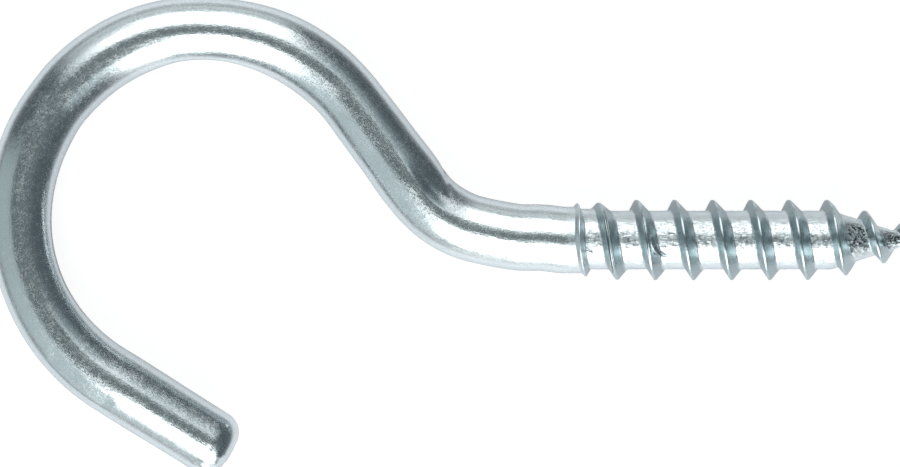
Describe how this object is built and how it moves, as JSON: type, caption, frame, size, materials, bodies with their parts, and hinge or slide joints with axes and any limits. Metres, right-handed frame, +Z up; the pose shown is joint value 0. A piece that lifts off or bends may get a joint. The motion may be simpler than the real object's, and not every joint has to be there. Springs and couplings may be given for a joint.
{
  "type": "screw hook",
  "caption": "Open round hook bent from steel wire, with a rolled wood-screw thread and a gimlet point on its straight end.",
  "frame": {"origin": "on the screw axis at the shoulder, where the plain wire ends and the rolled thread begins", "axes": "+X along the screw axis towards the point; the hook is bent in the XY plane, with its crown towards +Y and its open end towards -Y; +Z is up, with the part lying flat"},
  "size_m": [0.0812, 0.0416, 0.007],
  "materials": {
    "zinc_plated_steel": "bright blue-white zinc plate over drawn wire, finely speckled"
  },
  "bodies": {
    "root": {"screw_hook": "zinc_plated_steel"}
  },
  "joints": []
}
